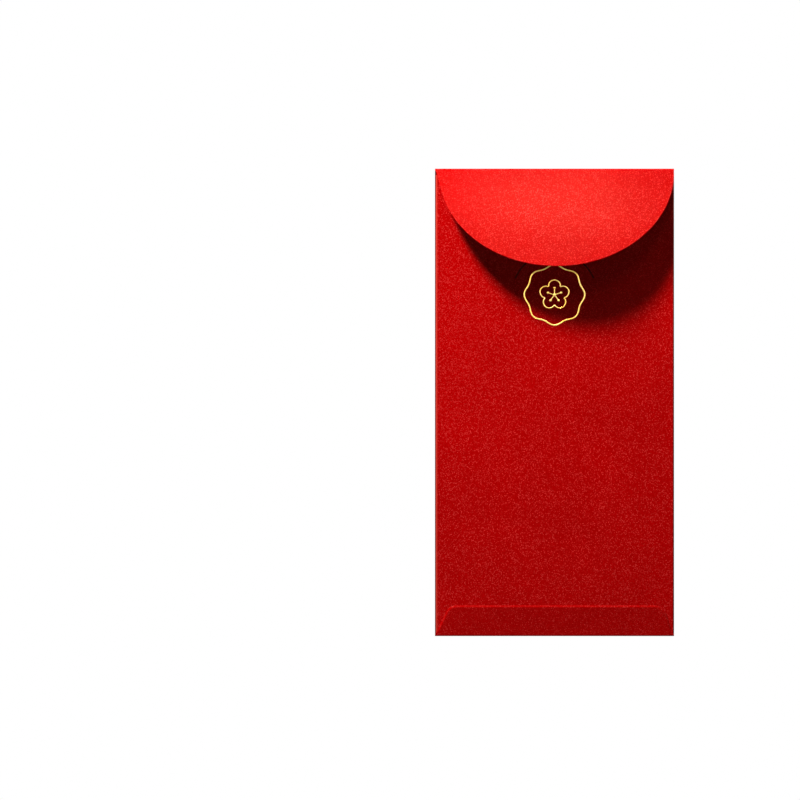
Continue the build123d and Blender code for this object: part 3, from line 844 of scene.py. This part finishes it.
# width is a share of unit; wander holds the height and the radians per millimetre of each ripple
branch = dict(width=0.085, tall=0.24, swell=0.22, step=0.25, spacing=0.3, softSteps=15,
              wander=((0.07, 0.9), (0.05, 2.3)), clear=0.6, shortest=2.2,
              barkTall=0.10, barkAcross=5.2, barkAlong=0.8, barkPhase=1.7)


# The branch: each stroke is a tapering band through its points, softened at the bends, stopped
# short of every flower, with bark ridges that wander along it.
def buildBranch(flowers):
    b = branch
    parts = []
    width = b["width"] * spray["unit"] / 2
    soft = np.hanning(b["softSteps"]) / np.hanning(b["softSteps"]).sum()
    margin = b["softSteps"] // 2
    for number, stroke in enumerate(np.array(s) for s in spray["strokes"]):
        corners = np.stack([onDie(x, z) for x, z, _ in stroke])
        gone = distanceAlong(corners)
        s = np.linspace(0, gone[-1], int(gone[-1] / b["step"]))
        line = np.pad(placesAt(s, gone, corners), ((margin, margin), (0, 0)), "edge")
        line = np.stack([np.convolve(line[:, i], soft, "valid") for i in (0, 1)], -1)
        (slowTall, slow), (quickTall, quick) = b["wander"]
        half = np.interp(s, gone, stroke[:, 2] * width)
        half = half * (1 + slowTall * np.sin(slow * s + number) + quickTall * np.sin(quick * s))
        room = np.min([np.linalg.norm(line - place, axis=1) - size for place, size in flowers], axis=0)
        clear = (room > b["clear"]).astype(int)
        edges = np.flatnonzero(np.diff(np.r_[0, clear, 0]))

        def bark(along):
            across = np.linspace(0, pi, bandColumns)
            ripple = b["barkAcross"] * np.cos(across) + b["barkAlong"] * along[:, None]
            return 1 + b["barkTall"] * np.sin(ripple + b["barkPhase"] * number) * np.sin(across)

        for start, end in edges.reshape(-1, 2):
            run = half[start:end]
            if s[end - 1] - s[start] >= b["shortest"] * (run[0] + run[-1]):
                tall = b["tall"] + b["swell"] * run
                parts.append(roundBand(line[start:end], run, tall, b["spacing"], bark))
    obj = raisePiece("goldBranch", parts, False, foilMaterial, "gold_foil", "branch")
    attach(obj, "envelope_body")


# A bud stands off the end of each stroke, in line with it; loose petals lie where they are put.
def buildBuds():
    unit, parts = spray["unit"], []
    radius, length, tip = (share * unit for share in spray["bud"])
    for stroke in spray["strokes"]:
        before, end = (onDie(*point[:2]) for point in stroke[-2:])
        heading = np.arctan2(*(end - before)[::-1])
        twig = stroke[-1][2] * branch["width"] * unit / 2
        seat = end + ray(heading) * (twig + spray["budGap"] + radius)
        parts.append(drop(seat, heading, radius, length, tip, spray["budTall"], 0.0))
    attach(raisePiece("goldBuds", parts, False, foilMaterial, "gold_foil", "buds"), "envelope_body")
    radius, length, tip = (share * unit for share in spray["loose"])
    parts = [drop(onDie(x, z), radians(turn), radius, length, tip, spray["looseTall"], spray["looseGroove"])
             for x, z, turn in spray["loosePlaces"]]
    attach(raisePiece("loosePetals", parts, False, foilMaterial, "gold_foil", "loose_petals"),
            "envelope_body")


lozenges = dict(middleZ=136.13, side=9.0, line=0.8, step=6.4, tall=0.17, lift=0.17, liftReach=0.9,
                power=3, columns=11, sideSteps=40)


# Two square lines on their corners, linked: each rises as a bell over the other at one crossing. The
# section turns to the mitre at a corner.
def buildLozenges():
    w = lozenges
    corner, inset = w["side"] / np.sqrt(2), w["line"] / 2
    inner = corner - inset * np.sqrt(2)
    square = inner * np.array([[1, 0], [0, 1], [-1, 0], [0, -1], [1, 0]])
    turn = np.linspace(0, 4, 4 * w["sideSteps"] + 1)
    across = ray(pi / 4 + np.minimum(turn.astype(int), 3) * pi / 2)
    across = np.where(np.isclose(turn % 1, 0)[:, None], ray(turn * pi / 2) * np.sqrt(2), across)
    offset, bulge = roundSection(w["columns"], w["power"])
    parts = []
    for way in (1, -1):
        line = placesAt(turn, np.arange(5), square)
        line[:, 1] += w["middleZ"] + way * w["step"] / 2
        crossing = (way * (corner - w["step"] / 2), w["middleZ"])
        over = np.exp(-((line - crossing) ** 2).sum(1) / w["liftReach"] ** 2)
        plan = line[:, None] + across[:, None] * inset * offset[:, None]
        level = -sink + (w["tall"] + w["lift"] * over[:, None] + sink) * bulge
        # the bulge is also the rise, painted shade towards the line's foot
        parts.append(closeSections(plan, level, np.broadcast_to(bulge, level.shape)))
    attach(raisePiece("lozengeKnot", parts, False, lineFoil, "gold_foil", "lozenge_knot"), "envelope_body")


# Blind rings pressed into the front: an arc has its middle's X and Z, radius, first and last angle.
rings = dict(tall=0.26, steep=0.44, gentle=3.0, riseSteps=9, dropSteps=5, dropPower=1.5,
             spacing=0.5, fewest=24, fade=0.24, narrow=0.35, turning=3, crest=0.2, arcs=(
    (25, 150, 11, 150, 330), (25, 150, 17, 20, 165), (25, 150, 24, 232, 305), (25, 150, 33, 140, 190),
    (25, 150, 44, 158, 232), (-12, 78, 24, 134, 196), (-12, 78, 31, 200, 247), (-12, 78, 52, 268, 292),
    (-43, 6, 13.5, 14, 76), (-43, 6, 31, 24, 60), (43, -5, 14, 98, 146), (43, -5, 22, 114, 158),
))


# A ring's section is a saw tooth: a square rise over gentle from the inside, then a rounded drop
# over steep; along the arc its height is a smooth step in from each end. The drop is painted with a
# highlight where it is turned up and with shade where it is turned down, as painted light.
def buildRings():
    w, parts = rings, []
    offset = np.r_[-w["gentle"] * (1 - np.linspace(0, 1, w["riseSteps"])),
                   w["steep"] * np.linspace(0, 1, w["dropSteps"] + 1)[1:]]
    falling = 1 - np.clip(offset / w["steep"], 0, 1) ** w["dropPower"]
    tooth = np.where(offset <= 0, (1 + offset / w["gentle"]) ** 2, falling)
    for middleX, middleZ, radius, first, last in w["arcs"]:
        steps = max(w["fewest"], int(radius * radians(last - first) / w["spacing"]))
        share = np.linspace(0, 1, steps)
        turn = np.radians(first + (last - first) * share)
        fade = np.clip(np.minimum(share, 1 - share) / w["fade"], 0, 1)
        fade = (fade ** 2 * (3 - 2 * fade))[:, None]
        reach = radius + offset * (w["narrow"] + (1 - w["narrow"]) * fade)
        plan = np.array([middleX, middleZ]) + reach[..., None] * ray(turn)[:, None]
        level = -sink + (w["tall"] * fade + sink) * tooth
        level[[0, -1]] = -sink
        # +1 on a drop turned up, painted highlight; -1 on one turned down, painted shade
        litOrShaded = np.tanh(w["turning"] * np.sin(turn))[:, None]
        parts.append(pad(plan, level, np.clip(1 + offset / w["crest"], 0, 1) * fade * litOrShaded))
    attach(raisePiece("blindRings", parts, False, paperMaterial, "red_paper"), "envelope_body")


flowers = [(onDie(x, z), size * spray["unit"]) for _, x, z, size, _ in spray["blossoms"]]
buildSealFrame()
buildSealFlower()
for (node, _, _, _, turn), (place, size) in zip(spray["blossoms"], flowers):
    buildBlossom(node.replace("_l", "L").replace("_r", "R"), node, place, size, turn)
buildBranch(flowers)
buildBuds()
buildLozenges()
buildRings()
print("gold and rings raised")


# lights, floor, camera

worldLook = dict(ambient=0.012, white=1.0, sky=2.2)


# White to the camera and through glass, a brighter sky to gloss, and a low even light for the rest.
def lightWorld():
    world = bpy.data.worlds.new("studio")
    bpy.context.scene.world = world
    world.use_nodes = True
    tree = world.node_tree
    tree.nodes.clear()
    path = addNode(tree, "LightPath").outputs
    level = worldLook["ambient"]
    for label, key in (("Camera", "white"), ("Transmission", "white"), ("Glossy", "sky")):
        seen = mapValue(path[f"Is {label} Ray"], onto=(worldLook["ambient"], worldLook[key]))
        level = mathNode("MAXIMUM", level, seen)
    plain = addNode(tree, "Background", Color=(1, 1, 1, 1), Strength=level)
    addNode(tree, "OutputWorld", Surface=plain.outputs[0])


floorLook = dict(pale=(0.8, 0.8, 0.8), bounce=(0.09, 0.09, 0.09), mirrored=0.28, roughness=0.9, reach=2.5,
                 away=(0.12, 0.55), whiteness=(0.72, 1.0))


# Pale floor: near white to the camera, darker where foil mirrors it, and a shadow stays on it.
def buildFloor():
    look = floorLook
    r = look["reach"]
    mesh = bpy.data.meshes.new("floor")
    mesh.from_pydata([(-r, -r, 0), (r, -r, 0), (r, r, 0), (-r, r, 0)], [], [(0, 1, 2, 3)])
    obj = bpy.data.objects.new("floor", mesh)
    bpy.context.scene.collection.objects.link(obj)
    material, tree, skin = startMaterial("paleFloor")
    feed(skin["Roughness"], look["roughness"])
    feed(skin["Specular IOR Level"], 0.0)
    path = addNode(tree, "LightPath").outputs
    mirrored = mapValue(path["Is Glossy Ray"], onto=(0.0, look["mirrored"]))
    shown = mathNode("MAXIMUM", path["Is Camera Ray"], mirrored)
    feed(skin["Base Color"], mixColour(shown, look["bounce"], look["pale"]))
    away = addNode(tree, "VectorMath")
    away.operation = "LENGTH"
    feed(away.inputs[0], addNode(tree, "TexCoord").outputs["Object"])
    whiter = mapValue(away.outputs["Value"], look["away"], look["whiteness"], "SMOOTHSTEP")
    white = addNode(tree, "Emission", Color=(1, 1, 1, 1), Strength=1.0)
    mix = addNode(tree, "MixShader", Fac=mathNode("MULTIPLY", path["Is Camera Ray"], whiter))
    feed(mix.inputs[1], tree.nodes["Principled BSDF"].outputs[0])
    feed(mix.inputs[2], white.outputs[0])
    feed(tree.nodes["Material Output"].inputs["Surface"], mix.outputs[0])
    mesh.materials.append(material)


def addLamp(name, place, aim, power, size, spread=180, onlySheen=False):
    lamp = bpy.data.lights.new(name, "AREA")
    lamp.size, lamp.energy, lamp.spread = size, power, radians(spread)
    obj = bpy.data.objects.new(name, lamp)
    obj.location = place
    obj.rotation_euler = (Vector(aim) - Vector(place)).to_track_quat("-Z", "Y").to_euler()
    obj.visible_diffuse = not onlySheen
    bpy.context.scene.collection.objects.link(obj)


# Place, aim, power, size, then spread where the lamp is narrowed, and whether it shows only as sheen.
lamps = dict(
    keyBack=((0.256, 0.275, 0.615), (0, 0.015, 0.14), 6.1, 0.10),
    topBack=((0.0, 0.30, 0.42), (0, 0.012, 0.16), 0.0046, 0.14, 30),
    sheenBack=((0.0, 0.27, 0.393), (0, 0.012, 0.16), 0.0092, 0.05, 20, True),
    keyFront=((0.0, -0.16, 0.42), (0, 0, 0.10), 1.5, 0.06),
    topFront=((0.0, -0.20, 0.168), (0, 0, 0.168), 0.13, 0.04),
    sheenFront=((0.0, -0.19, 0.172), (0, 0, 0.168), 0.06, 0.05, 180, True),
    fillLeft=((-0.40, -0.45, 0.15), (0, 0, 0.09), 0.25, 0.3),
    fillRight=((0.40, -0.50, 0.15), (0, 0, 0.09), 0.27, 0.3),
)
for name, values in lamps.items():
    addLamp(name, *values)
lightWorld()
buildFloor()

# middleX and bottomY are where the envelope stands in a square picture of frame pixels
view = dict(pixel=0.37657, middleX=554.5, bottomY=636.05, frame=800, distance=1.0)
camera = bpy.data.cameras.new("mainView")
camera.type = "ORTHO"
camera.ortho_scale = view["frame"] * view["pixel"] * mm
cameraObject = bpy.data.objects.new("mainView", camera)
cameraObject.location = ((view["middleX"] - view["frame"] / 2) * view["pixel"] * mm, view["distance"],
                         (view["bottomY"] - view["frame"] / 2) * view["pixel"] * mm)
cameraObject.rotation_euler = (pi / 2, 0, pi)
bpy.context.scene.collection.objects.link(cameraObject)
bpy.context.scene.camera = cameraObject
bpy.context.scene.view_settings.view_transform = "Standard"
print("lights and camera set")
